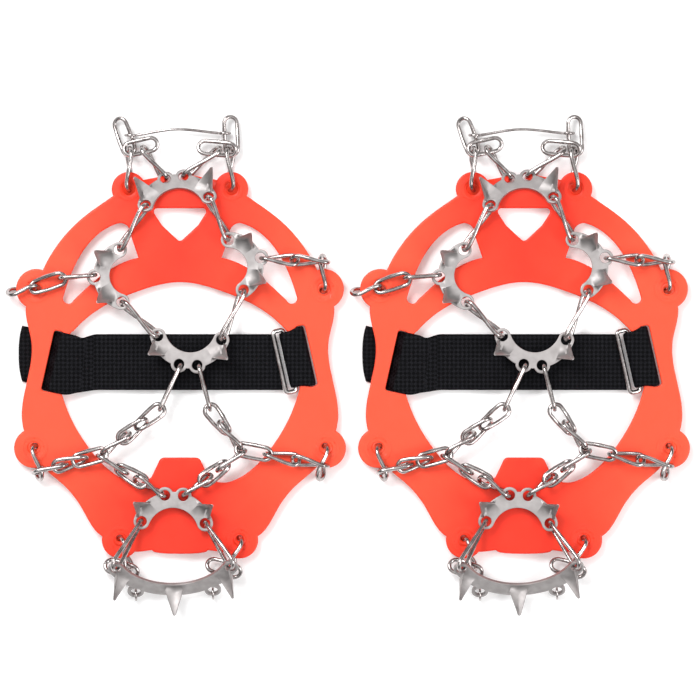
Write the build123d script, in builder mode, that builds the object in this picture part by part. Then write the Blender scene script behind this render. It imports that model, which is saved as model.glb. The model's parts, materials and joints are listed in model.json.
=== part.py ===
from build123d import *
import math
import os

# A pair of stretch-on ice cleats, lying sole side up. Millimetres, +X to the right across the
# pair, +Y towards the toes, +Z up. The origin is under the middle of the pair, on the ground.
# Each cleat is drawn in its own frame, with its origin on the cleat's centre line at mid length.

# Where the two cleats lie
PAIR_PITCH = 153.6
PAIR_SHIFT = 1.907
CLEAT_Y = 0.846

# Rubber harness
SLAB_Z = 2.2
SLAB = 3.0
RING_LIFT = 0.2
LUG_HOLE = 2.6
LUGS = {
    "toe": (22.9, 77.7, 7.6, 5.2),
    "ball": (64.2, 33.0, 9.0, 6.1),
    "side": (65.2, -38.0, 8.9, 6.1),
    "heel": (26.6, -79.0, 8.3, 6.1),
}
BAR_TILT = 12.6
BAR_INNER = (50.85, 0.65)
BAR_WIDTH = 4.0
SLOT_WIDTH = 4.2
SLOT_LENGTH = 27.4
SLOT_CORNER = 1.2
SLOT_RISE = 1.2

# Chain
WIRE = 1.9
LINK_LENGTH = 17.5
LINK_WIDTH = 7.8
END_RADIUS = (LINK_WIDTH - WIRE) / 2
LUG_LINK_WIDTH = 9.8
LUG_LINK_Z = LUG_LINK_WIDTH / 2
CHAIN_Z = 9.4
UP = Vector(0, 0, 1)

# Spike plates
PLATE = 1.5
BAND = 7.2
HOLE = 2.3
LOBE = 3.7
TOOTH_HEIGHT = 10.5
TOOTH_WIDTH = 8.6
TOOTH_FOLD = 3.4
TOOTH_STEEL = 1.3
EAR_HALF = 14.15
BALL_EAR_HALF = 11.6
REAR_EAR_HALF = 25.4
TOE_TILT = 30
EAR_RIM_RISE = 1.0
REAR_TILT = 48
PAST_REAR_RIM = 2.3

# Strap, keeper and ring
WEB = 1.2
WEB_WIDTH = 25.0
WEB_HALF = WEB_WIDTH / 2
STRAP_Z = 3.0
STRAP_Y = 0.4
PAD = 1.0
PAD_LENGTH = 30.0
PAD_MARGIN = 1.5
PAD_CORNER = 1.0
STRAP_END = 5.2
LEFT_WEB_RISE = 0.6
KEEPER_MIDDLE = 1.75
KEEPER_LENGTH = 11.7
KEEPER_HEIGHT = 5.8
KEEPER_CORNER = 1.9
KEEPER_FOLD = 1.1
OVER_BAR_Z = 6.0
UNDER_BAND_Z = 1.2
RING_WIRE = 2.0
RING_LENGTH = 28.0
RING_REACH = 5.1
RING_Z = 3.7
RING_RISE = 15

# Toe bail, and the small rings in the rear plate's lobes
BAIL_WIRE = 1.3
EYE_RADIUS = 2.4
SMALL_RING = 2.5
SMALL_RING_WIRE = 1.0

os.makedirs("parts", exist_ok=True)


def polar(length, degrees):
    return Vector(length * math.cos(math.radians(degrees)), length * math.sin(math.radians(degrees)), 0)


# ---------------------------------------------------------------- rubber harness


def bar_frame(side):
    """A frame on the strap bar's inner edge. Its x runs outward across the bar."""
    x, y = BAR_INNER
    out = Vector(side * math.cos(math.radians(BAR_TILT)), math.sin(math.radians(BAR_TILT)), 0)
    return Plane(origin=(side * x, y, 0), x_dir=out, z_dir=(0, 0, 1))


def half_outline():
    """The right half of the outer edge, from the toe bar to the heel."""
    with BuildSketch() as half:
        with BuildLine():
            Line((0, 78.5), (24.5, 78.5))
            Spline((24.5, 78.5), (33, 72.4), (44.2, 64.2), (53.1, 54.9), (60.2, 43.7), (64.2, 33))
            Spline((64.2, 33), (68.9, 24), (66.4, 10), (67.6, -5), (70.6, -25), (65.2, -38))
            Spline((65.2, -38), (60, -47.6), (53.1, -53.5), (44.2, -64.2), (36.6, -76), (26.6, -79))
            Spline(
                (26.6, -79), (22, -84.1), (13, -83.6), (0, -85.2), tangents=((-0.2, -1), (-1, 0))
            )
            Line((0, -85.2), (0, 78.5))
        make_face()
    return half.sketch


def harness():
    """The stretched elastomer web: a flat band with eight eyelet lugs, cut out between its arms."""
    half = half_outline()
    holes = [(side * x, y) for x, y, _, _ in LUGS.values() for side in (-1, 1)]
    with BuildPart() as web:
        with BuildSketch(Plane.XY.offset(SLAB_Z)):
            add(half)
            mirror(half, about=Plane.YZ)
            for x, y, radius, _ in LUGS.values():
                with Locations((x, y), (-x, y)):
                    Circle(radius)
            with BuildLine(mode=Mode.PRIVATE) as heart:
                FilletPolyline(
                    (-13, 69.1), (13, 69.1), (8, 61.4), (0, 54), (-8, 61.4), radius=1.6, close=True
                )
            make_face(heart.edges(), mode=Mode.SUBTRACT)
            for side in (-1, 1):
                with BuildLine(mode=Mode.PRIVATE) as crescent:
                    Spline(
                        (side * 27, 62.5),
                        (side * 35.7, 58.2),
                        (side * 44.2, 48.5),
                        (side * 49.5, 37.5),
                        (side * 52.3, 29),
                    )
                    ThreePointArc((side * 52.3, 29), (side * 50.6, 26.6), (side * 47.6, 28))
                    Spline((side * 47.6, 28), (side * 39, 36), (side * 30, 42.6), (side * 18.6, 47))
                    Line((side * 18.6, 47), (side * 22, 57))
                    ThreePointArc((side * 22, 57), (side * 23.2, 60.8), (side * 27, 62.5))
                make_face(crescent.edges(), mode=Mode.SUBTRACT)
            with BuildLine(mode=Mode.PRIVATE) as middle:
                Spline(
                    (-47.6, 14.2),
                    (-36.1, 24.1),
                    (-19.6, 31.7),
                    (0, 36.1),
                    (19.6, 31.7),
                    (36.1, 24.1),
                    (47.6, 14.2),
                )
                for side in (-1, 1):
                    ThreePointArc((side * 47.6, 14.2), (side * 49.2, 12.6), (side * 49.1, 10.4))
                    Line((side * 49.1, 10.4), (side * 53.4, -11.4))
                    Spline(
                        (side * 53.4, -11.4),
                        (side * 49, -24),
                        (side * 39.7, -39.2),
                        (side * 28, -50.4),
                        (side * 19, -53.4),
                        (side * 12.8, -51),
                    )
                    Line((side * 12.8, -51), (side * 9.5, -44.1))
                    ThreePointArc((side * 9.5, -44.1), (side * 8.5, -42.7), (side * 6.8, -42.2))
                Line((-6.8, -42.2), (6.8, -42.2))
            make_face(middle.edges(), mode=Mode.SUBTRACT)
            for side in (-1, 1):
                frame = bar_frame(side)
                place = frame.from_local_coords(Vector(BAR_WIDTH + SLOT_WIDTH / 2, SLOT_RISE))
                with Locations((place.X, place.Y)):
                    RectangleRounded(
                        SLOT_WIDTH, SLOT_LENGTH, SLOT_CORNER, rotation=side * BAR_TILT, mode=Mode.SUBTRACT
                    )
        extrude(amount=SLAB)
        for x, y, _, ring in LUGS.values():
            with BuildSketch(Plane.XY.offset(SLAB_Z + SLAB)):
                with Locations((x, y), (-x, y)):
                    Circle(ring)
                    Circle(ring - 1.4, mode=Mode.SUBTRACT)
            extrude(amount=RING_LIFT)
        with Locations(*[(x, y, SLAB_Z) for x, y in holes]):
            Cylinder(LUG_HOLE, 3 * SLAB, mode=Mode.SUBTRACT)
    return web


# ---------------------------------------------------------------- chain


def link(start, end, side, width=LINK_WIDTH):
    """One welded link. start and end are the middles of its end wires; side lies in its flat."""
    a, b = Vector(*start), Vector(*end)
    radius = (width - WIRE) / 2
    half = (b - a).length / 2 - radius
    frame = Plane(origin=(a + b) / 2, x_dir=b - a, z_dir=(b - a).cross(Vector(*side)))
    with BuildPart() as one:
        with BuildLine(frame) as path:
            first = Line((-half, radius), (half, radius))
            ThreePointArc((half, radius), (half + radius, 0), (half, -radius))
            Line((half, -radius), (-half, -radius))
            ThreePointArc((-half, -radius), (-half - radius, 0), (-half, radius))
        with BuildSketch(Plane(origin=first @ 0, z_dir=first % 0)):
            Circle(WIRE / 2)
        sweep(path=path.wires()[0])
    return one.part


def roll_side(start, end, roll):
    """The direction across a link that is turned by roll degrees from lying flat."""
    along = (Vector(*end) - Vector(*start)).normalized()
    across = UP.cross(along).normalized()
    lift = along.cross(across)
    return across * math.cos(math.radians(roll)) + lift * math.sin(math.radians(roll))


def chain(start, end, rolls, length=LINK_LENGTH):
    """Links from one end wire to another, evenly spaced, each turned by its own roll."""
    a, b = Vector(*start), Vector(*end)
    along = (b - a).normalized()
    reach = length - WIRE
    step = ((b - a).length - reach) / max(len(rolls) - 1, 1)
    links = []
    for n, roll in enumerate(rolls):
        first = a + along * (n * step)
        last = first + along * reach
        links.append(link(first, last, roll_side(first, last, roll)))
    return links


def upright(start, end):
    """A single link of any length, standing on edge."""
    return link(start, end, roll_side(start, end, 90))


def lug_link(x, y, heading, length):
    """A wide link through a lug's hole and round the lug's rim."""
    start = Vector(x, y, LUG_LINK_Z)
    return link(start, start + polar(length, heading), UP, LUG_LINK_WIDTH)


def group(links):
    with BuildPart() as joined:
        for one in links:
            add(one)
    return joined


# ---------------------------------------------------------------- spike plates


def plate_frame(from_ear, to_ear, z, tilt=0):
    """A frame midway between two ears. x runs between them, y towards the plate's back edge."""
    a, b = Vector(*from_ear, z), Vector(*to_ear, z)
    along = (b - a).normalized()
    back = UP.cross(along)
    turn = math.radians(tilt)
    normal = UP * math.cos(turn) + back * math.sin(turn)
    return Plane(origin=(a + b) / 2, x_dir=along, z_dir=normal)


def plate(frame, half_span, sag, holes, teeth, tooth_height=TOOTH_HEIGHT):
    """A stamped crescent with an ear at each end, lobes with holes, and folded teeth.

    holes are lobes' centres, and teeth are (x, y, facing, lean) on the plate's top face."""
    with BuildPart() as spikes:
        with BuildSketch(frame.offset(-PLATE / 2)):
            with BuildLine(mode=Mode.PRIVATE) as middle_line:
                ThreePointArc((-half_span, 0), (0, sag), (half_span, 0))
            SlotArc(middle_line.edges()[0], BAND)
            with Locations(*holes):
                Circle(LOBE)
            with Locations((-half_span, 0), (half_span, 0), *holes):
                Circle(HOLE, mode=Mode.SUBTRACT)
        extrude(amount=PLATE)
        for x, y, facing, lean in teeth:
            turn = math.radians(facing)
            foot = Plane(
                origin=frame.from_local_coords(Vector(x, y, 0)),
                x_dir=frame.x_dir * math.cos(turn) + frame.y_dir * math.sin(turn),
                z_dir=frame.z_dir,
            )
            with BuildSketch(foot):
                chevron(1.0)
            with BuildSketch(foot.offset(tooth_height)):
                with Locations((lean, 0)):
                    chevron(0.16)
            loft()
    return spikes


def chevron(scale):
    """A tooth's folded section: a V of sheet steel that opens towards the plate."""
    half, fold = TOOTH_WIDTH / 2, TOOTH_FOLD
    points = [
        (0, 0),
        (-fold, half),
        (-fold - TOOTH_STEEL, half),
        (-TOOTH_STEEL * 1.4, 0),
        (-fold - TOOTH_STEEL, -half),
        (-fold, -half),
    ]
    Polygon(*[(x * scale, y * scale) for x, y in points], align=None)


# ---------------------------------------------------------------- webbing


def strap():
    """The webbing that crosses the arch: over the left bar, down its slot and under the band."""
    left, right = bar_frame(-1), bar_frame(1)
    tip = right.from_local_coords(Vector(-STRAP_END, 0, 0))
    with BuildPart() as web:
        with BuildSketch(Plane(origin=(0, WEB_HALF + STRAP_Y, 0), x_dir=(1, 0, 0), z_dir=(0, -1, 0))):
            with BuildLine():
                FilletPolyline(
                    (-49, OVER_BAR_Z), (-45, OVER_BAR_Z), (-36, STRAP_Z), (54, STRAP_Z), radius=2
                )
            trace(line_width=WEB)
        extrude(amount=WEB_WIDTH)
        split(bisect_by=Plane(origin=tip, x_dir=right.y_dir, z_dir=-right.x_dir), keep=Keep.TOP)
        side_on = Plane(origin=left.origin, x_dir=left.x_dir, z_dir=-left.y_dir)
        with BuildSketch(side_on.offset(-WEB_HALF - LEFT_WEB_RISE)):
            with BuildLine():
                FilletPolyline(
                    (-6, OVER_BAR_Z),
                    (4.3, OVER_BAR_Z),
                    (7.7, UNDER_BAND_Z),
                    (22.0, UNDER_BAND_Z),
                    radius=1.0,
                )
            trace(line_width=WEB)
        extrude(amount=WEB_WIDTH)
    return web


def strap_patches():
    """Hook and loop pads sewn to the strap's underside."""
    top = STRAP_Z - WEB / 2
    with BuildPart() as pads:
        with BuildSketch(Plane.XY.offset(top - PAD)):
            with Locations((-14, STRAP_Y), (24, STRAP_Y)):
                RectangleRounded(PAD_LENGTH, WEB_WIDTH - 2 * PAD_MARGIN, PAD_CORNER)
        extrude(amount=PAD)
    return pads


def keeper_loop():
    """A sewn loop of webbing round the right bar, which holds the ring's outer side."""
    frame = bar_frame(1)
    view = Plane(origin=frame.origin, x_dir=frame.x_dir, z_dir=-frame.y_dir)
    with BuildPart() as loop:
        with BuildSketch(view.offset(-WEB_HALF - SLOT_RISE)):
            with Locations((KEEPER_MIDDLE, SLAB_Z + SLAB / 2)):
                RectangleRounded(KEEPER_LENGTH, KEEPER_HEIGHT, KEEPER_CORNER)
                RectangleRounded(
                    KEEPER_LENGTH - 2 * WEB,
                    KEEPER_HEIGHT - 2 * WEB,
                    KEEPER_CORNER - KEEPER_FOLD,
                    mode=Mode.SUBTRACT,
                )
        extrude(amount=WEB_WIDTH)
    return loop


def ring_axis():
    """The ring's outer side: the line that it swings about, along the bar."""
    frame = bar_frame(1)
    return Plane(origin=frame.from_local_coords(Vector(-1.6, 1.0, RING_Z)), x_dir=frame.x_dir, z_dir=UP)


def buckle_ring():
    """A rectangular wire ring, lifted a little where it lies on the strap."""
    flat = ring_axis()
    rise = math.radians(RING_RISE)
    plane = Plane(
        origin=flat.origin,
        x_dir=flat.x_dir * math.cos(rise) - UP * math.sin(rise),
        z_dir=UP * math.cos(rise) + flat.x_dir * math.sin(rise),
    )
    with BuildPart() as ring:
        with BuildLine(plane) as path:
            FilletPolyline(
                (0, -RING_LENGTH / 2),
                (0, RING_LENGTH / 2),
                (-RING_REACH, RING_LENGTH / 2),
                (-RING_REACH, -RING_LENGTH / 2),
                radius=1.6,
                close=True,
            )
        start = path.edges().sort_by(Edge.length)[-1]
        with BuildSketch(Plane(origin=start @ 0.5, z_dir=start % 0.5)):
            Circle(RING_WIRE / 2)
        sweep(path=path.wires()[0])
    return ring


# ---------------------------------------------------------------- toe bail

EYES = ((-21.9, 101.7, 3.5), (19.8, 102.6, 3.5))


def toe_bail():
    """A bowed wire with an eye at each end, strung between the two toe links."""
    left, right = Vector(*EYES[0]), Vector(*EYES[1])
    reach = Vector(EYE_RADIUS - BAIL_WIRE / 4, 0, 0)
    with BuildPart() as bail:
        with BuildLine() as bow:
            Spline(left + reach, (-2.2, 104.3, 4.2), right - reach, tangents=((1, 0.16, 0), (1, -0.1, 0)))
        with BuildSketch(Plane(origin=bow.edges()[0] @ 0, z_dir=bow.edges()[0] % 0)):
            Circle(BAIL_WIRE / 2)
        sweep(path=bow.wires()[0])
        for eye in (left, right):
            with Locations(Plane(origin=eye, z_dir=(0, 1, 0))):
                Torus(EYE_RADIUS, BAIL_WIRE / 2)
    return bail


# ---------------------------------------------------------------- one cleat

TOE_EARS = ((-14.7, 70.5), (12.5, 74.0))
TOE_EAR_Z = 10.6
LEFT_BALL_EARS = ((-25.9, 27.2), (-27.0, 50.4))
RIGHT_BALL_EARS = ((21.9, 54.9), (28.5, 32.6))
ARCH_EARS = ((18.7, 10.3), (-9.8, 12.0))
HEEL_EARS = ((-16.9, -70.5), (11.2, -71.4))
REAR_EARS = ((22.7, -90.5), (-28.1, -91.4))
REAR_EAR_Z = 17.0
SAG = 10.0
BALL_SAG = 8.4
REAR_SAG = 14.8
MIDDLE_HOLES = [(-4.05, 11.9), (4.05, 11.9)]
SIDE_TEETH = [(16.2, 7.4, 38, 2.0), (-16.2, 7.4, 142, 2.0)]
BALL_TEETH = [(10.4, 9.2, 50, 2.0), (-10.4, 9.2, 130, 2.0)]
REAR_TEETH = [(0, 18.6, 90, 0.5), (26.4, 7.2, 30, 0.5), (-26.4, 7.2, 150, 0.5)]
REAR_LOBES = [(17.2, 15.6), (-17.2, 15.6)]


def on_chain(x, y, z=CHAIN_Z):
    return (x, y, z)


def spike_plates():
    toe = plate_frame(*TOE_EARS, TOE_EAR_Z, TOE_TILT)
    left = plate_frame(*LEFT_BALL_EARS, CHAIN_Z)
    right = plate_frame(*RIGHT_BALL_EARS, CHAIN_Z)
    arch = plate_frame(*ARCH_EARS, CHAIN_Z)
    heel = plate_frame(*HEEL_EARS, CHAIN_Z)
    rear = plate_frame(*REAR_EARS, REAR_EAR_Z, REAR_TILT)
    return {
        "toe_plate": plate(toe, EAR_HALF, SAG, MIDDLE_HOLES, SIDE_TEETH),
        "ball_plate_left": plate(left, BALL_EAR_HALF, BALL_SAG, [(0, 11.2)], BALL_TEETH),
        "ball_plate_right": plate(right, BALL_EAR_HALF, BALL_SAG, [(0, 11.2)], BALL_TEETH),
        "arch_plate": plate(arch, EAR_HALF, SAG, MIDDLE_HOLES, SIDE_TEETH),
        "heel_plate": plate(heel, EAR_HALF, SAG, MIDDLE_HOLES, SIDE_TEETH),
        "rear_heel_plate": plate(rear, REAR_EAR_HALF, REAR_SAG, REAR_LOBES, REAR_TEETH, 12.0),
    }


def plate_hole(frame, x, y):
    return frame.from_local_coords(Vector(x, y, 0))


def chains():
    toe = plate_frame(*TOE_EARS, TOE_EAR_Z, TOE_TILT)
    toe_holes = [plate_hole(toe, x, y) - UP * EAR_RIM_RISE for x, y in MIDDLE_HOLES]
    toe_rims = [(*ear, TOE_EAR_Z + EAR_RIM_RISE) for ear in TOE_EARS]
    rear = plate_frame(*REAR_EARS, REAR_EAR_Z, REAR_TILT)
    rear_links = []
    for side, ear in zip((1, -1), HEEL_EARS):
        rim = plate_hole(rear, side * REAR_EAR_HALF, -END_RADIUS)
        along = (rim - Vector(*on_chain(*ear))).normalized()
        start = Vector(*on_chain(*ear)) - UP * EAR_RIM_RISE
        rear_links.append([link(start, rim + along * PAST_REAR_RIM, rear.y_dir)])
    return {
        "rear_link_left": rear_links[0],
        "rear_link_right": rear_links[1],
        "rear_lug_chains": [
            lug_link(-27.0, -78.0, -72, 15.4),
            link((-33.3, -89.8, LUG_LINK_Z), (-18.9, -94.0, LUG_LINK_Z), (0, 1, 0)),
            lug_link(26.8, -78.0, -108, 15.4),
            link((12.2, -89.4, LUG_LINK_Z), (27.0, -93.8, LUG_LINK_Z), (0, 1, 0)),
        ],
        "toe_chain_left": [
            lug_link(-22.6, 77.0, 90, 19.1),
            link((-21.9, 92.8, 3.5), (-27.6, 109.2, 3.5), (1, 0.3, 0)),
            link((-24.8, 94.9, 6.5), (-10.1, 98.2, 5.2), (0, 1, 0)),
            upright((-16.8, 96.4, 6.0), toe_holes[0]),
        ],
        "toe_chain_right": [
            lug_link(22.4, 77.0, 90, 19.1),
            link((23.2, 92.9, 3.5), (22.4, 110.0, 3.5), (1, 0, 0)),
            link((24.8, 95.0, 6.5), (8.2, 96.6, 5.2), (0, 1, 0)),
            upright((17.9, 95.9, 6.1), toe_holes[1]),
        ],
        "front_link_left": [upright(toe_rims[0], on_chain(*LEFT_BALL_EARS[1]))],
        "front_link_right": [upright(toe_rims[1], on_chain(*RIGHT_BALL_EARS[0]))],
        "mid_link_left": [upright(on_chain(*LEFT_BALL_EARS[0]), on_chain(*ARCH_EARS[1]))],
        "mid_link_right": [upright(on_chain(*RIGHT_BALL_EARS[1]), on_chain(*ARCH_EARS[0]))],
        "ball_chain_left": [
            lug_link(-63.0, 33.4, 188, 14.1),
            link((-66.6, 33.1, 6.5), (-51.0, 38.3, 9.0), (0, 1, 0)),
            upright(on_chain(-53.5, 37.8), on_chain(-37.5, 39.3)),
        ],
        "ball_chain_right": [
            lug_link(63.7, 32.0, 90, 16.1),
            *chain(on_chain(66.5, 45.0), on_chain(36.1, 46.7), (110, 64), 18.6),
        ],
        "arch_chain_left": [
            upright(on_chain(0.4, -0.6), on_chain(-9.0, -21.0)),
            *chain(on_chain(-7.3, -19.4), on_chain(-34.5, -40.6), (25, -35, 90)),
        ],
        "arch_chain_right": [
            upright(on_chain(8.5, -1.0), on_chain(13.6, -20.9)),
            *chain(on_chain(12.25, -19.0), on_chain(27.2, -38.4), (25, 90)),
        ],
        "side_chain_left": [
            lug_link(-64.6, -36.8, -82, 15.4),
            *chain(on_chain(-65.2, -48.9), on_chain(-32.5, -40.0), (90, 45, 0)),
        ],
        "side_chain_right": [
            lug_link(64.8, -36.8, -99, 15.4),
            *chain(on_chain(66.0, -45.9), on_chain(25.1, -38.0), (110, 55, 0), 18.0),
        ],
        "heel_chain_left": chain(on_chain(-36.6, -41.2), on_chain(-6.5, -59.1), (90, 20, 80)),
        "heel_chain_right": chain(on_chain(29.3, -38.8), on_chain(1.6, -59.2), (90, 20, 80)),
    }


def lobe_rings():
    """A small split ring that hangs in each lobe of the rear plate."""
    rear = plate_frame(*REAR_EARS, REAR_EAR_Z, REAR_TILT)
    with BuildPart() as rings:
        for x, y in REAR_LOBES:
            with Locations(Plane(origin=plate_hole(rear, x, y + SMALL_RING), z_dir=rear.x_dir)):
                Torus(SMALL_RING, SMALL_RING_WIRE / 2)
    return rings


def cleat():
    """Every piece of one cleat, by name."""
    pieces = {
        "harness": harness(),
        "strap": strap(),
        "strap_patches": strap_patches(),
        "keeper_loop": keeper_loop(),
        "buckle_ring": buckle_ring(),
        "toe_bail": toe_bail(),
        "lobe_rings": lobe_rings(),
        **spike_plates(),
    }
    for name, links in chains().items():
        pieces[name] = group(links)
    return pieces


centres = {"left": -PAIR_PITCH / 2 + PAIR_SHIFT, "right": PAIR_PITCH / 2 + PAIR_SHIFT}
for piece_name, piece in cleat().items():
    for hand, centre in centres.items():
        with BuildPart() as placed:
            with Locations((centre, CLEAT_Y, 0)):
                add(piece.part)
        placed.part.label = f"{hand}_{piece_name}"
        export_step(placed.part, f"parts/{placed.part.label}.step")
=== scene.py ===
import json
import math

import bmesh
import bpy
import numpy as np
from mathutils import Matrix, Vector


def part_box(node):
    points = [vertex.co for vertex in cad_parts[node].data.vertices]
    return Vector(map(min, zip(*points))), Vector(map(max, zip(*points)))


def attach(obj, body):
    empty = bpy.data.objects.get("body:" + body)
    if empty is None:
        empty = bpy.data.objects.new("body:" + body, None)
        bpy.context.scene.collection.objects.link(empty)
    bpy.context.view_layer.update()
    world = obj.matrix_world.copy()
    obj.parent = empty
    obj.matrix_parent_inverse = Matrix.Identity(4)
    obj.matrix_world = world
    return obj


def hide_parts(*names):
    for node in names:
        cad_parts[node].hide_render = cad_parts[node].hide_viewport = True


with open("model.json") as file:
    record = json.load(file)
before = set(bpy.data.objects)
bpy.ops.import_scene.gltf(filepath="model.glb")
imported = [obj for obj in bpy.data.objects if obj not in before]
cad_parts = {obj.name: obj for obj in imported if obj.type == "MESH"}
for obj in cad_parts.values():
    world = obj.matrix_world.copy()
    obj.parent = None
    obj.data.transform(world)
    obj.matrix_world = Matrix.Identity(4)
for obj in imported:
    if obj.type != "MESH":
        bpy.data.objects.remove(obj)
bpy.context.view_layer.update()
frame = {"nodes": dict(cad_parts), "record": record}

# Blender's lengths are in metres. Points on a cleat are written in millimetres from cleat_origin.
# The two cleats are the same.
MM = 0.001
HANDS = ("left", "right")

# Nodes of one cleat
CHAIN_GROUPS = ("toe_chain", "ball_chain", "arch_chain", "side_chain", "heel_chain")
SINGLE_LINKS = ("front_link", "mid_link", "rear_link")
PLATES = (
    "toe_plate",
    "ball_plate_left",
    "ball_plate_right",
    "arch_plate",
    "heel_plate",
    "rear_heel_plate",
)
WIRE_PARTS = ("buckle_ring", "toe_bail", "lobe_rings")

# Chain: a link's twist in degrees, tried in this order, and how near a piece has to be to count
TWISTS = (50, -50, 43, -43, 36, -36, 29, -29, 22, -22, 15, -15, 8, -8, 0)
NEIGHBOUR_REACH = 6 * MM
HINGED_REACH = 14 * MM
WIRE_GAP = 0.04 * MM
# Chain: points round an end, points along a strand, and points round the wire
ARC_STEPS = 12
STRAND_STEPS = 9
WIRE_SIDES = 12
# Chain: the weld's swelling, and its place and half width as shares of the first strand
WELD_SWELL = 0.09
WELD_PLACE = 0.5
WELD_WIDTH = 0.13

# Webbing, in millimetres: the bars, and the tape itself
BAR_TILT = math.radians(12.6)
BAR_INNER = (50.85, 0.65)
WEB_HALF = 12.5
WEB_THICK = 1.2
WEB_STEP = 0.42
RIB_PITCH = 1.9
RIB_DEPTH = 0.1
CROWN_POWER = 14
SLOT_FLARE = 1.05
BEND_STEPS = 12

# Strap, in millimetres
STRAP_Y = 0.4
STRAP_Z = 3.0
OVER_BAR_Z = 6.0
UNDER_BAND_Z = 1.2
LOOP_SHIFT = 1.2
STRAP_END = 5.3
# Its corners at the left bar: (distance out from the bar, height, radius)
BAR_CORNERS = (
    (21.6, UNDER_BAND_Z, 0),
    (7.9, UNDER_BAND_Z, 1.4),
    (4.4, OVER_BAR_Z, 1.6),
    (-4.5, OVER_BAR_Z, 6.0),
)
# Where it comes down to its level run: (x, height, radius)
LANDING = (-38.0, STRAP_Z + 0.2, 8.0)
# Where each change of its shape starts and ends, in x, and for the outer end in distance from the bar
TILT_SPAN = (-36, -50)
SHEAR_START = 20
SLOT_INNER_SPAN = (-44, -50)
SLOT_OUTER_SPAN = (-61, -58)
OUTER_SPAN = (8, 21)
OUTER_BOW = 1.6
BOW_POWER = 2.5

# Keeper loop, in millimetres: its middle is (out from the right bar, up along it, height)
KEEPER_MIDDLE = (1.75, 1.2, 3.7)
KEEPER_LENGTH = 11.7
KEEPER_HEIGHT = 5.8
KEEPER_BEND = 1.7
KEEPER_CORNER_STEPS = 8
KEEPER_FLARE_SPAN = (-0.3, 0.7)

# Lugs, in millimetres: the holes' middles, and their radius with 0.15 mm of overlap
LUG_HOLES = ((22.9, 77.7), (64.2, 33.0), (65.2, -38.0), (26.6, -79.0))
LUG_RADIUS = 2.75
# Lugs, in metres: how far a crossing wire may wander, and the collars' sizes
CROSSING_REACH = 2 * MM
COLLAR_SIDES = 48
COLLAR_SLACK = 0.1 * MM
COLLAR_RISE = 0.5 * MM
COLLAR_DISH = 0.9 * MM
COLLAR_SHOULDER = 0.55 * MM
COLLAR_SHOULDER_SHARE = 0.25

# Edge rounds, in metres, and the harness's raised lug rings
RUBBER_ROUND = 0.75 * MM
RING_ROUND = 0.09 * MM
STEEL_ROUND = 0.22 * MM
PAD_ROUND = 0.3 * MM
RING_LIFT = 0.2 * MM

# Cleaning of CAD meshes, in metres, and the angles between faces that count as flat, sharp or a crease
SAME_POINT = 0.001 * MM
MERGE_REACH = 0.002 * MM
LEVEL_REACH = 0.02 * MM
FLAT_ANGLE = math.radians(0.5)
SHARP_ANGLE = math.radians(30)
CREASE_ANGLE = math.radians(50)

# Materials, in metres: the webbing's thread, and how the rubber's painted shade falls off: paler on
# the arms, darker along each cleat's middle and towards the toe and heel
THREAD = 1.34 * MM
PAINTED_SHADE_WIDTH = 62 * MM
PAINTED_SHADE_LENGTH = 190 * MM
PAINTED_SHADE_BASE = 0.35

# Camera and floor
VIEW_WIDTH = 312.2 * MM
LENS = 300
SENSOR = 36
AIM_SHIFT = (-0.9 * MM, 5.8 * MM, 7 * MM)
CLIP_END = 20
FLOOR_SIZE = 8


def cleat_origin(hand):
    """The point that a cleat's own millimetres count from."""
    low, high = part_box(f"{hand}_harness")
    pads_low, pads_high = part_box(f"{hand}_strap_patches")
    return Vector(((low.x + high.x) / 2, (pads_low.y + pads_high.y) / 2 - STRAP_Y * MM, 0))


# ---------------------------------------------------------------- meshes


def add_object(name, mesh, material):
    mesh.materials.clear()
    mesh.materials.append(material)
    obj = bpy.data.objects.new(name, mesh)
    bpy.context.scene.collection.objects.link(obj)
    return obj


def mesh_from(name, points, faces):
    mesh = bpy.data.meshes.new(name)
    mesh.from_pydata([tuple(p) for p in points], [], faces)
    mesh.validate()
    mesh.shade_smooth()
    return mesh


def wrap(rows, around, closed=True):
    """Faces between rows of points, each row closed round. closed joins the last row to the first."""
    faces = []
    for i in range(rows if closed else rows - 1):
        j = (i + 1) % rows
        for k in range(around):
            m = (k + 1) % around
            faces.append((i * around + k, i * around + m, j * around + m, j * around + k))
    return faces


def joined(parts):
    """Several (points, faces) as one."""
    verts, faces = [], []
    for part_verts, part_faces in parts:
        start = len(verts)
        verts.extend(part_verts)
        faces.extend([tuple(start + i for i in face) for face in part_faces])
    return verts, faces


def loose_parts(obj):
    """Each separate solid of a mesh, as (corner points, triangles)."""
    mesh = obj.data
    mesh.calc_loop_triangles()
    points = np.array([v.co for v in mesh.vertices], float)
    cells = np.round(points / SAME_POINT).astype(np.int64)
    welded = np.unique(cells, axis=0, return_inverse=True)[1].ravel()
    triangles = np.array([t.vertices[:] for t in mesh.loop_triangles])
    owner = np.arange(welded.max() + 1)
    changed = True
    while changed:
        before = owner.copy()
        corners = owner[welded[triangles]]
        lowest = corners.min(axis=1)
        for k in range(3):
            np.minimum.at(owner, welded[triangles[:, k]], lowest)
        owner = owner[owner]
        changed = bool((owner != before).any())
    labels = owner[welded[triangles[:, 0]]]
    return [(points, triangles[labels == label]) for label in np.unique(labels)]


# ---------------------------------------------------------------- chain links


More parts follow.
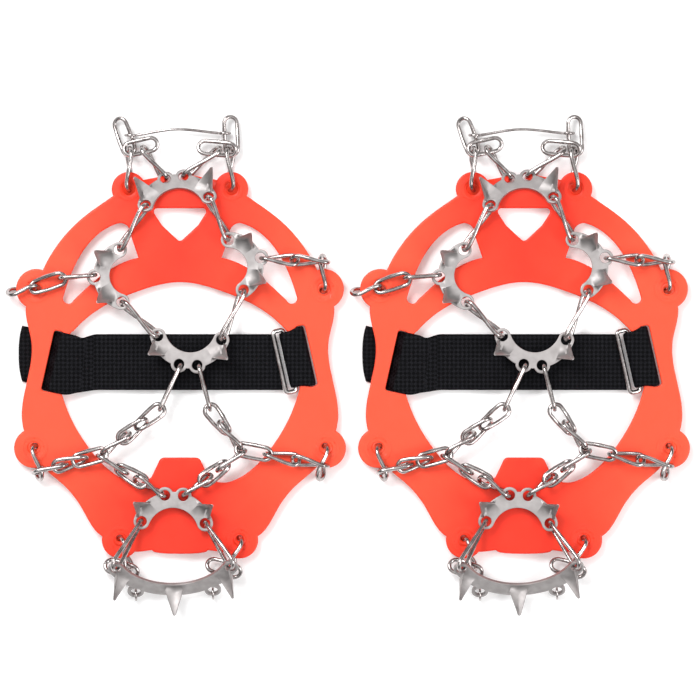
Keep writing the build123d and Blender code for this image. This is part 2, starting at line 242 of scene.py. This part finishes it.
class Link:
    """A link's middle, axes and sizes, read from its CAD solid."""

    def __init__(self, points, triangles):
        corners = points[triangles]
        first, second = corners[:, 1] - corners[:, 0], corners[:, 2] - corners[:, 0]
        areas = np.linalg.norm(np.cross(first, second), axis=1)
        mids = corners.mean(axis=1)
        mean = (mids * areas[:, None]).sum(0) / areas.sum()
        spread = ((mids - mean).T * areas) @ (mids - mean)
        _, axes = np.linalg.eigh(spread)
        axes = axes[:, ::-1].T
        axes = [axis * (1 if axis[np.argmax(np.abs(axis))] > 0 else -1) for axis in axes]
        axes[2] = np.cross(axes[0], axes[1])
        flat = corners.reshape(-1, 3)
        spans = [(flat - mean) @ axis for axis in axes]
        self.middle = mean + sum(axis * (s.max() + s.min()) / 2 for axis, s in zip(axes, spans))
        self.along, self.across, self.normal = axes
        length, width, wire = [s.max() - s.min() for s in spans]
        self.wire = wire
        self.bend = (width - wire) / 2
        self.half = (length - wire) / 2 - self.bend
        self.twist = 0.0

    def line(self, twist):
        """Points round the wire's centre, and a direction square to it at each."""
        stations = []
        for sign in (1, -1):
            for n in range(STRAND_STEPS):
                t = n / STRAND_STEPS
                stations.append((sign * self.half * (2 * t - 1), sign * self.bend))
            for n in range(ARC_STEPS):
                turn = math.pi * n / ARC_STEPS
                reach = self.half + self.bend * math.sin(turn)
                stations.append((sign * reach, sign * self.bend * math.cos(turn)))
        run = self.half + self.bend
        points, squares = [], []
        for x, y in stations:
            turn = math.radians(twist) / 2 * math.sin(math.pi / 2 * x / run)
            across = self.across * math.cos(turn) + self.normal * math.sin(turn)
            points.append(self.middle + self.along * x + across * y)
            squares.append(self.normal * math.cos(turn) - self.across * math.sin(turn))
        return np.array(points), np.array(squares)


def nearest(a, b):
    return float(np.linalg.norm(a[:, None] - b[None], axis=2).min())


def hinged_points(hand):
    """Points on the hinged plates and the bail, at rest and at both ends of their range."""
    behaviour = frame["record"]["behaviour"]
    clouds = []
    for joint in behaviour["joints"]:
        nodes = [node for node in behaviour["bodies"][joint["child"]] if node not in chain_nodes(hand)]
        if joint["type"] != "hinge" or not joint["child"].startswith(hand) or not nodes:
            continue
        pivot = np.array(joint["pos_m"])
        points = np.array([v.co for node in nodes for v in frame["nodes"][node].data.vertices])
        for degrees in (joint["range_deg"][0], 0, joint["range_deg"][1]):
            turn = np.array(Matrix.Rotation(math.radians(degrees), 3, Vector(joint["axis"])))
            clouds.append((points - pivot) @ turn.T + pivot)
    return np.concatenate(clouds)


def choose_twists(links, cloud):
    """Gives each link the largest twist that keeps its wire off the other links and hinged pieces."""
    lines = [link.line(0)[0] for link in links]
    for n, link in enumerate(links):
        rest = [k for k in range(len(links)) if k != n]
        others = [k for k in rest if nearest(lines[n], lines[k]) < NEIGHBOUR_REACH]
        close = cloud[np.linalg.norm(cloud - link.middle, axis=1) < HINGED_REACH]

        def gap(line):
            gaps = [nearest(line, lines[k]) - (link.wire + links[k].wire) / 2 for k in others]
            if len(close):
                halfway = (line + np.roll(line, -1, 0)) / 2
                gaps.append(nearest(np.concatenate([line, halfway]), close) - link.wire / 2)
            return min(gaps, default=1)

        needed = min(WIRE_GAP, gap(lines[n]))
        for twist in TWISTS:
            line = link.line(twist)[0]
            if gap(line) >= needed:
                link.twist = twist
                lines[n] = line
                break


def tube(points, squares, radii):
    """A closed ring of wire round a centre line."""
    tangents = np.roll(points, -1, 0) - np.roll(points, 1, 0)
    tangents /= np.linalg.norm(tangents, axis=1)[:, None]
    first = squares - tangents * (squares * tangents).sum(1)[:, None]
    first /= np.linalg.norm(first, axis=1)[:, None]
    second = np.cross(tangents, first)
    turns = 2 * math.pi * np.arange(WIRE_SIDES) / WIRE_SIDES
    cosines, sines = np.cos(turns)[None, :, None], np.sin(turns)[None, :, None]
    ring = first[:, None] * cosines + second[:, None] * sines
    verts = (points[:, None] + ring * radii[:, None, None]).reshape(-1, 3)
    return verts, [(a, d, c, b) for a, b, c, d in wrap(len(points), WIRE_SIDES)]


def link_mesh(link):
    points, squares = link.line(link.twist)
    place = np.arange(len(points)) / STRAND_STEPS
    swell = 1 + WELD_SWELL * np.exp(-(((place - WELD_PLACE) / WELD_WIDTH) ** 2))
    return tube(points, squares, link.wire / 2 * swell)


def chain_nodes(hand):
    sides = [f"{group}_{side}" for group in CHAIN_GROUPS + SINGLE_LINKS for side in HANDS]
    return [f"{hand}_{name}" for name in [*sides, "rear_lug_chains"]]


def node_links(node):
    return [Link(*part) for part in loose_parts(frame["nodes"][node])]


def body_of(node):
    bodies = frame["record"]["behaviour"]["bodies"]
    return next(body for body, members in bodies.items() if node in members)


def make_chains(material):
    for hand in HANDS:
        links = {node: node_links(node) for node in chain_nodes(hand)}
        choose_twists([link for group in links.values() for link in group], hinged_points(hand))
        for node, group in links.items():
            verts, faces = joined(link_mesh(link) for link in group)
            piece = add_object(f"{node}_wire", mesh_from(node, verts, faces), material)
            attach(piece, body_of(node))
            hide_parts(node)


# ---------------------------------------------------------------- rounded copies of stiff pieces


def rounded_copy(node, name, material, rounds):
    """A copy of a CAD node with its sharp edges rounded.

    rounds are (test of an edge, width, segments)."""
    bm = bmesh.new()
    bm.from_mesh(frame["nodes"][node].data)
    bmesh.ops.remove_doubles(bm, verts=bm.verts, dist=MERGE_REACH)
    bmesh.ops.dissolve_limit(bm, angle_limit=FLAT_ANGLE, verts=bm.verts, edges=bm.edges)
    for test, width, segments in rounds:
        edges = [e for e in bm.edges if len(e.link_faces) == 2 and test(e)]
        bmesh.ops.bevel(
            bm,
            geom=edges,
            offset=width,
            segments=segments,
            profile=0.5,
            affect="EDGES",
            clamp_overlap=False,
        )
    bmesh.ops.triangulate(bm, faces=[f for f in bm.faces if len(f.verts) > 4])
    mesh = bpy.data.meshes.new(name)
    bm.to_mesh(mesh)
    bm.free()
    piece = add_object(name, mesh, material)
    for polygon in mesh.polygons:
        polygon.use_smooth = True
    mesh.set_sharp_from_angle(angle=CREASE_ANGLE)
    even_normals(piece)
    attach(piece, body_of(node))
    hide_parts(node)


def even_normals(piece):
    """Keeps flat faces flat and shades only the rounds."""
    modifier = piece.modifiers.new("even_normals", "WEIGHTED_NORMAL")
    modifier.keep_sharp = True
    modifier.weight = 100


def is_sharp(edge):
    return edge.is_convex and edge.calc_face_angle(0) > SHARP_ANGLE


def at_height(edge, heights):
    return all(any(abs(v.co.z - h) < LEVEL_REACH for h in heights) for v in edge.verts)


def lug_wires(hand, low, high):
    """Where the lug links' wires cross the harness: (middle, radius that the wire stays inside)."""
    origin = np.array(cleat_origin(hand).xy)
    wires = []
    for node in chain_nodes(hand):
        for link in node_links(node):
            points = link.line(0)[0]
            inside = points[(points[:, 2] > low) & (points[:, 2] < high)]
            if points[:, 2].min() > low or len(inside) == 0:
                continue
            start = inside[np.argmin(np.linalg.norm(inside[:, :2] - origin, axis=1))]
            near = inside[np.linalg.norm(inside[:, :2] - start[:2], axis=1) < CROSSING_REACH]
            first, last = near.min(0), near.max(0)
            radius = float(np.linalg.norm((last - first)[:2])) / 2 + link.wire / 2
            wires.append(((first + last) / 2, radius))
    return wires


def collar(middle, hole, inner, low, high):
    """Rubber that closes a lug's hole round the wire, dished where it meets the wire.

    A section is (share of the way from the wire out to the hole, height)."""
    turns = 2 * math.pi * np.arange(COLLAR_SIDES) / COLLAR_SIDES
    ring = np.stack([np.cos(turns), np.sin(turns)], axis=1)
    sections = [
        (1.0, low),
        (0.0, low + COLLAR_RISE),
        (0.0, high - COLLAR_DISH),
        (COLLAR_SHOULDER_SHARE, high - COLLAR_SHOULDER),
        (1.0, high),
    ]
    verts = []
    for share, z in sections:
        centre = middle[:2] * (1 - share) + hole[0] * share
        flat = centre + ring * (inner * (1 - share) + hole[1] * share)
        verts.extend([(x, y, z) for x, y in flat])
    return verts, wrap(len(sections), COLLAR_SIDES)


def make_collars(hand, low, high, material):
    origin = cleat_origin(hand)
    holes = [origin + Vector((side * x * MM, y * MM, 0)) for x, y in LUG_HOLES for side in (-1, 1)]
    collars = []
    for middle, radius in lug_wires(hand, low, high):
        nearest_hole = min(holes, key=lambda p: (p.xy - Vector(middle[:2])).length)
        hole = (np.array(nearest_hole.xy), LUG_RADIUS * MM)
        collars.append(collar(middle, hole, radius + COLLAR_SLACK, low, high))
    name = f"{hand}_lug_collars"
    piece = add_object(name, mesh_from(name, *joined(collars)), material)
    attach(piece, f"{hand}_cleat")


def make_harness(material):
    for hand in HANDS:
        node = f"{hand}_harness"
        low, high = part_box(node)
        band, rings = (low.z, high.z - RING_LIFT), (high.z,)
        make_collars(hand, *band, material)
        rounds = [
            (lambda e, heights=band: is_sharp(e) and at_height(e, heights), RUBBER_ROUND, 4),
            (lambda e, heights=rings: is_sharp(e) and at_height(e, heights), RING_ROUND, 2),
        ]
        rounded_copy(node, f"{hand}_harness_rubber", material, rounds)


def make_plates(material):
    rounds = [(is_sharp, STEEL_ROUND, 2)]
    for hand in HANDS:
        for name in PLATES:
            node = f"{hand}_{name}"
            rounded_copy(node, f"{node}_steel", material, rounds)


def dress_wire_parts(material):
    """Gives the bent wire parts, whose CAD shapes are right, their steel."""
    for hand in HANDS:
        for name in WIRE_PARTS:
            mesh = frame["nodes"][f"{hand}_{name}"].data
            mesh.materials.clear()
            mesh.materials.append(material)


# ---------------------------------------------------------------- webbing


def ribbon(centres, widths, normals, halves, closed=False, bow=None):
    """A strip of woven webbing, in millimetres. Each station has a centre, directions and half width.

    bow is how far the strip's two edges are moved at each station, and its middle line stays."""
    across = round(2 * WEB_HALF / WEB_STEP)
    w = np.linspace(-1, 1, across + 1)
    crown = np.sqrt(np.clip(1 - np.abs(w) ** CROWN_POWER, 0, 1))
    runs = np.linalg.norm(np.diff(centres, axis=0, append=centres[:1]), axis=1)
    travel = np.concatenate([[0], np.cumsum(runs[:-1])])
    phase = 2 * math.pi * travel[:, None] / RIB_PITCH
    rows = 2 * math.pi * w[None, :] * WEB_HALF / RIB_PITCH
    weave = RIB_DEPTH * (np.sin(phase + rows) + np.sin(phase - rows)) * 0.5 * crown[None, :]
    sheets = []
    for sign in (1, -1):
        lift = sign * (WEB_THICK / 2 * crown[None, :] - RIB_DEPTH + weave)
        side = centres[:, None] + widths[:, None] * (halves[:, None] * w[None, :])[:, :, None]
        if bow is not None:
            side = side + bow[:, None] * (np.abs(w) ** BOW_POWER)[None, :, None]
        sheets.append(side + normals[:, None] * lift[:, :, None])
    loop = np.concatenate([sheets[0], sheets[1][:, -2:0:-1]], axis=1)
    around = loop.shape[1]
    faces = wrap(len(centres), around, closed)
    if not closed:
        last = (len(centres) - 1) * around
        faces.append(tuple(range(around)))
        faces.append(tuple(last + k for k in reversed(range(around))))
    return loop.reshape(-1, 3), faces


def rounded_path(corners, step):
    """Evenly spaced points along straight runs joined by smooth bends. corners are (point, radius)."""
    points = [np.array(p, float) for p, _ in corners]
    dense = [points[0]]
    for i in range(1, len(points) - 1):
        a, b, c = points[i - 1], points[i], points[i + 1]
        u, v = (a - b) / np.linalg.norm(a - b), (c - b) / np.linalg.norm(c - b)
        half_turn = math.acos(float(np.clip(u @ v, -1, 1))) / 2
        cut = corners[i][1] / math.tan(half_turn)
        for t in np.linspace(0, 1, BEND_STEPS + 1):
            start, end = b + u * cut, b + v * cut
            dense.append((1 - t) ** 2 * start + 2 * t * (1 - t) * b + t * t * end)
    dense.append(points[-1])
    dense = np.array(dense)
    travel = np.concatenate([[0], np.cumsum(np.linalg.norm(np.diff(dense, axis=0), axis=1))])
    places = np.linspace(0, travel[-1], max(2, round(travel[-1] / step)))
    return np.stack([np.interp(places, travel, dense[:, k]) for k in range(dense.shape[1])], axis=1)


def ease(values, start, end):
    """Nought up to start and one beyond end, smooth between them."""
    t = np.clip((values - start) / (end - start), 0, 1)
    return t * t * (3 - 2 * t)


def strap_strip():
    """The strap from its folded outer end, up through the left slot, over the bar and across."""
    out = np.array([-math.cos(BAR_TILT), math.sin(BAR_TILT)])
    down = np.array([-math.sin(BAR_TILT), -math.cos(BAR_TILT)])
    bar = np.array([-BAR_INNER[0], BAR_INNER[1]]) + down * LOOP_SHIFT
    right_end = BAR_INNER[0] - STRAP_END / math.cos(BAR_TILT)

    corners = [((*(bar + out * distance), z), radius) for distance, z, radius in BAR_CORNERS]
    landing_x, landing_z, landing_radius = LANDING
    corners.append(((landing_x, STRAP_Y, landing_z), landing_radius))
    corners.append(((right_end, STRAP_Y, STRAP_Z), 0))
    centres = rounded_path(corners, WEB_STEP)
    x = centres[:, 0]
    outer = ease(centres[:, :2] @ out - bar @ out, *OUTER_SPAN)
    tilt = BAR_TILT * ease(x, *TILT_SPAN) * (1 - outer)
    widths = np.stack([np.sin(tilt), np.cos(tilt), np.zeros(len(tilt))], axis=1)
    widths[:, 0] -= math.tan(BAR_TILT) * ease(x, SHEAR_START, right_end)
    tangents = np.gradient(centres, axis=0)
    normals = np.cross(tangents, widths)
    normals /= np.linalg.norm(normals, axis=1)[:, None]
    halves = WEB_HALF + SLOT_FLARE * ease(x, *SLOT_INNER_SPAN) * ease(x, *SLOT_OUTER_SPAN)
    bow = outer[:, None] * np.array([OUTER_BOW, 0, 0])
    return ribbon(centres, widths, normals, halves, bow=bow)


def keeper_strip():
    """The loop of webbing round the right bar."""
    out = np.array([math.cos(BAR_TILT), math.sin(BAR_TILT), 0])
    up_bar = np.array([-math.sin(BAR_TILT), math.cos(BAR_TILT), 0])
    away, along, z = KEEPER_MIDDLE
    middle = np.array([*BAR_INNER, z]) + out * away + up_bar * along
    half_length, half_height = (KEEPER_LENGTH - WEB_THICK) / 2, (KEEPER_HEIGHT - WEB_THICK) / 2
    centres, normals = [], []
    for quarter in range(4):
        sx = 1 if quarter in (0, 3) else -1
        sz = 1 if quarter in (0, 1) else -1
        for n in range(KEEPER_CORNER_STEPS + 1):
            turn = math.pi / 2 * (quarter + n / KEEPER_CORNER_STEPS)
            nx, nz = math.cos(turn), math.sin(turn)
            x = sx * (half_length - KEEPER_BEND) + KEEPER_BEND * nx
            lift = sz * (half_height - KEEPER_BEND) + KEEPER_BEND * nz
            centres.append(middle + out * x + np.array([0, 0, lift]))
            normals.append(out * nx + np.array([0, 0, nz]))
    centres, normals = even_loop(np.array(centres), np.array(normals), WEB_STEP)
    widths = np.repeat(-up_bar[None], len(centres), axis=0)
    outward = ((centres - middle) @ out) / half_length
    halves = WEB_HALF + SLOT_FLARE * ease(outward, *KEEPER_FLARE_SPAN)
    return ribbon(centres, widths, normals, halves, closed=True)


def even_loop(points, normals, step):
    """Evenly spaced points and normals round a closed line."""
    closed = np.concatenate([points, points[:1]])
    closed_normals = np.concatenate([normals, normals[:1]])
    travel = np.concatenate([[0], np.cumsum(np.linalg.norm(np.diff(closed, axis=0), axis=1))])
    places = np.linspace(0, travel[-1], round(travel[-1] / step), endpoint=False)
    even = np.stack([np.interp(places, travel, closed[:, k]) for k in range(3)], axis=1)
    turned = np.stack([np.interp(places, travel, closed_normals[:, k]) for k in range(3)], axis=1)
    return even, turned / np.linalg.norm(turned, axis=1)[:, None]


def make_webbing(web, pile):
    for hand in HANDS:
        origin = np.array(cleat_origin(hand))
        for name, strip in (("strap", strap_strip), ("keeper_loop", keeper_strip)):
            verts, faces = strip()
            mesh = mesh_from(name, verts * MM + origin, faces)
            piece = add_object(f"{hand}_{name}_webbing", mesh, web)
            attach(piece, f"{hand}_cleat")
            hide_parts(f"{hand}_{name}")
        rounds = [(is_sharp, PAD_ROUND, 3)]
        rounded_copy(f"{hand}_strap_patches", f"{hand}_hook_pads", pile, rounds)


# ---------------------------------------------------------------- materials


def new_material(name, **values):
    """A material whose Principled sockets are set by name, with _ for each space."""
    material = bpy.data.materials.new(name)
    material.use_nodes = True
    shader = material.node_tree.nodes["Principled BSDF"]
    for socket, value in values.items():
        shader.inputs[socket.replace("_", " ")].default_value = value
    return material, material.node_tree, shader


def noise(tree, scale, detail, axis_scale_and_painted_light=(1, 1, 1)):
    place = tree.nodes.new("ShaderNodeTexCoord")
    mapping = tree.nodes.new("ShaderNodeMapping")
    mapping.inputs["Scale"].default_value = axis_scale_and_painted_light
    texture = tree.nodes.new("ShaderNodeTexNoise")
    texture.inputs["Scale"].default_value = scale
    texture.inputs["Detail"].default_value = detail
    tree.links.new(place.outputs["Object"], mapping.inputs["Vector"])
    tree.links.new(mapping.outputs["Vector"], texture.inputs["Vector"])
    return texture.outputs["Fac"]


def ramp(tree, value, stops):
    """Colours along a value. stops are (place, colour)."""
    node = tree.nodes.new("ShaderNodeValToRGB")
    elements = node.color_ramp.elements
    while len(elements) < len(stops):
        elements.new(0.5)
    for element, (place, color) in zip(elements, stops):
        element.position = place
        element.color = (*color, 1)
    tree.links.new(value, node.inputs["Fac"])
    return node.outputs["Color"]


def grey_ramp(tree, value, stops):
    """Shades along a value. stops are (place, shade)."""
    return ramp(tree, value, [(place, (shade,) * 3) for place, shade in stops])


def bump(tree, shader, height, strength, distance):
    node = tree.nodes.new("ShaderNodeBump")
    node.inputs["Strength"].default_value = strength
    node.inputs["Distance"].default_value = distance
    tree.links.new(height, node.inputs["Height"])
    tree.links.new(node.outputs["Normal"], shader.inputs["Normal"])


def math_node(tree, operation, *values):
    """The output of a Math node. Each value is a number or another node's output."""
    node = tree.nodes.new("ShaderNodeMath")
    node.operation = operation
    for socket, value in zip(node.inputs, values):
        if isinstance(value, bpy.types.NodeSocket):
            tree.links.new(value, socket)
        else:
            socket.default_value = value
    return node.outputs[0]


def distance_from(tree, value, place):
    return math_node(tree, "ABSOLUTE", math_node(tree, "SUBTRACT", value, place))


def painted_light_share(tree):
    """High on the arms, and low along each cleat's middle and on the thick toe and heel: painted light
    and shade, darker under the chain and towards the ends.
    """
    place = tree.nodes.new("ShaderNodeTexCoord")
    split = tree.nodes.new("ShaderNodeSeparateXYZ")
    tree.links.new(place.outputs["Object"], split.inputs["Vector"])
    left, right = cleat_origin("left"), cleat_origin("right")
    off_pair = distance_from(tree, split.outputs["X"], (left.x + right.x) / 2)
    off_line = distance_from(tree, off_pair, (right.x - left.x) / 2)
    off_middle = distance_from(tree, split.outputs["Y"], left.y)
    gain = math_node(tree, "MULTIPLY", off_line, 1 / PAINTED_SHADE_WIDTH)
    loss = math_node(tree, "MULTIPLY", off_middle, 1 / PAINTED_SHADE_LENGTH)
    return math_node(tree, "ADD", math_node(tree, "SUBTRACT", gain, loss), PAINTED_SHADE_BASE)


def rubber_material():
    material, tree, shader = new_material("orange_elastomer", Specular_IOR_Level=0.32)
    shader.inputs["Subsurface Weight"].default_value = 0.2
    shader.inputs["Subsurface Radius"].default_value = (0.004, 0.0012, 0.0008)
    shader.inputs["Subsurface Scale"].default_value = 0.6
    # Half of the noise, less its mean, is added to the painted shade.
    axis_scale_and_painted_light = math_node(tree, "SUBTRACT", painted_light_share(tree), 0.25)
    tone_and_painted_shade = math_node(tree, "MULTIPLY_ADD", noise(tree, 28, 4), 0.5, axis_scale_and_painted_light)
    # The darker tones are painted shade along each cleat's middle and towards the toe and heel; the
    # noise adds random tone.
    tones = [(0.15, (0.91, 0.034, 0.012)), (0.5, (0.97, 0.053, 0.02)), (0.95, (1.0, 0.088, 0.037))]
    tree.links.new(ramp(tree, tone_and_painted_shade, tones), shader.inputs["Base Color"])
    gloss = grey_ramp(tree, noise(tree, 140, 4), [(0.3, 0.34), (0.7, 0.46)])
    tree.links.new(gloss, shader.inputs["Roughness"])
    bump(tree, shader, noise(tree, 900, 2), 0.12, 0.0002)
    return material


def steel_material(name, dark, light, rough):
    """Uneven steel between two colours. rough is (lowest, highest) roughness."""
    material, tree, shader = new_material(name, Metallic=1.0)
    color = ramp(tree, noise(tree, 260, 4), [(0.32, dark), (0.68, light)])
    tree.links.new(color, shader.inputs["Base Color"])
    gloss = grey_ramp(tree, noise(tree, 420, 3), [(0.3, rough[0]), (0.7, rough[1])])
    tree.links.new(gloss, shader.inputs["Roughness"])
    bump(tree, shader, noise(tree, 700, 2), 0.1, 0.0001)
    return material


def web_material():
    material, tree, shader = new_material("black_webbing", Specular_IOR_Level=0.07)
    place = tree.nodes.new("ShaderNodeTexCoord")
    mapping = tree.nodes.new("ShaderNodeMapping")
    mapping.inputs["Rotation"].default_value = (0, 0, math.pi / 4)
    weave = tree.nodes.new("ShaderNodeTexChecker")
    weave.inputs["Scale"].default_value = 1 / THREAD
    tree.links.new(place.outputs["Object"], mapping.inputs["Vector"])
    tree.links.new(mapping.outputs["Vector"], weave.inputs["Vector"])
    shades = [(0.35, (0.004, 0.004, 0.0055)), (0.75, (0.013, 0.013, 0.016))]
    tree.links.new(ramp(tree, noise(tree, 1500, 3), shades), weave.inputs["Color1"])
    weave.inputs["Color2"].default_value = (0.0008, 0.0008, 0.0014, 1)
    tree.links.new(weave.outputs["Color"], shader.inputs["Base Color"])
    gloss = grey_ramp(tree, noise(tree, 1200, 2), [(0.3, 0.5), (0.7, 0.75)])
    tree.links.new(gloss, shader.inputs["Roughness"])
    bump(tree, shader, noise(tree, 2600, 2, (1, 0.35, 1)), 0.5, 0.0002)
    return material


def pile_material():
    material, tree, shader = new_material("hook_and_loop", Roughness=0.9)
    shader.inputs["Sheen Weight"].default_value = 0.3
    shades = [(0.3, (0.006, 0.006, 0.008)), (0.8, (0.03, 0.03, 0.034))]
    tree.links.new(ramp(tree, noise(tree, 1800, 4), shades), shader.inputs["Base Color"])
    bump(tree, shader, noise(tree, 2400, 3), 0.8, 0.0004)
    return material


# ---------------------------------------------------------------- stage


def make_stage():
    material, _, _ = new_material(
        "paper_floor",
        Base_Color=(0.92, 0.92, 0.92, 1),
        Roughness=0.9,
        Emission_Color=(1, 1, 1, 1),
        Emission_Strength=0.12,
    )
    bpy.ops.mesh.primitive_plane_add(size=FLOOR_SIZE, location=(0, 0, 0))
    floor = bpy.context.object
    floor.name = "floor"
    floor.data.materials.append(material)


def area_light(name, place, size, power):
    """A rectangular light that faces the origin."""
    data = bpy.data.lights.new(name, "AREA")
    data.shape = "RECTANGLE"
    data.size, data.size_y = size
    data.energy = power
    light = bpy.data.objects.new(name, data)
    light.location = place
    light.rotation_euler = (-Vector(place)).to_track_quat("-Z", "Y").to_euler()
    bpy.context.scene.collection.objects.link(light)


def make_lights():
    area_light("softbox", (-0.5, 0.6, 1.0), (0.6, 0.6), 13)
    area_light("fill", (0.9, -0.3, 0.9), (0.7, 0.5), 8)
    world = bpy.data.worlds.new("studio")
    world.use_nodes = True
    tree = world.node_tree
    place = tree.nodes.new("ShaderNodeTexCoord")
    split = tree.nodes.new("ShaderNodeSeparateXYZ")
    tree.links.new(place.outputs["Generated"], split.inputs["Vector"])
    # Dark and pale bands by height, which the steel reflects
    bands = [(0.2, 0.7), (0.28, 0.04), (0.5, 0.14), (0.85, 1.0)]
    shade = grey_ramp(tree, split.outputs["Z"], bands)
    tree.links.new(shade, tree.nodes["Background"].inputs["Color"])
    tree.nodes["Background"].inputs["Strength"].default_value = 0.9
    bpy.context.scene.world = world


def make_camera():
    pair_middle = (cleat_origin("left") + cleat_origin("right")) / 2
    aim = pair_middle + Vector(AIM_SHIFT)
    data = bpy.data.cameras.new("camera")
    data.lens = LENS
    data.sensor_width = SENSOR
    data.clip_end = CLIP_END
    camera = bpy.data.objects.new("camera", data)
    camera.location = aim + Vector((0, 0, VIEW_WIDTH * LENS / SENSOR))
    bpy.context.scene.collection.objects.link(camera)
    bpy.context.scene.camera = camera


# ---------------------------------------------------------------- everything

make_camera()
make_stage()
make_lights()

rubber = rubber_material()
plate_steel = steel_material("plate_steel", (0.38, 0.355, 0.35), (0.46, 0.435, 0.43), (0.5, 0.62))
chain_steel = steel_material("chain_steel", (0.3, 0.265, 0.26), (0.6, 0.565, 0.555), (0.13, 0.24))
make_harness(rubber)
make_plates(plate_steel)
make_chains(chain_steel)
make_webbing(web_material(), pile_material())
dress_wire_parts(chain_steel)

bpy.context.scene.view_settings.view_transform = "Standard"
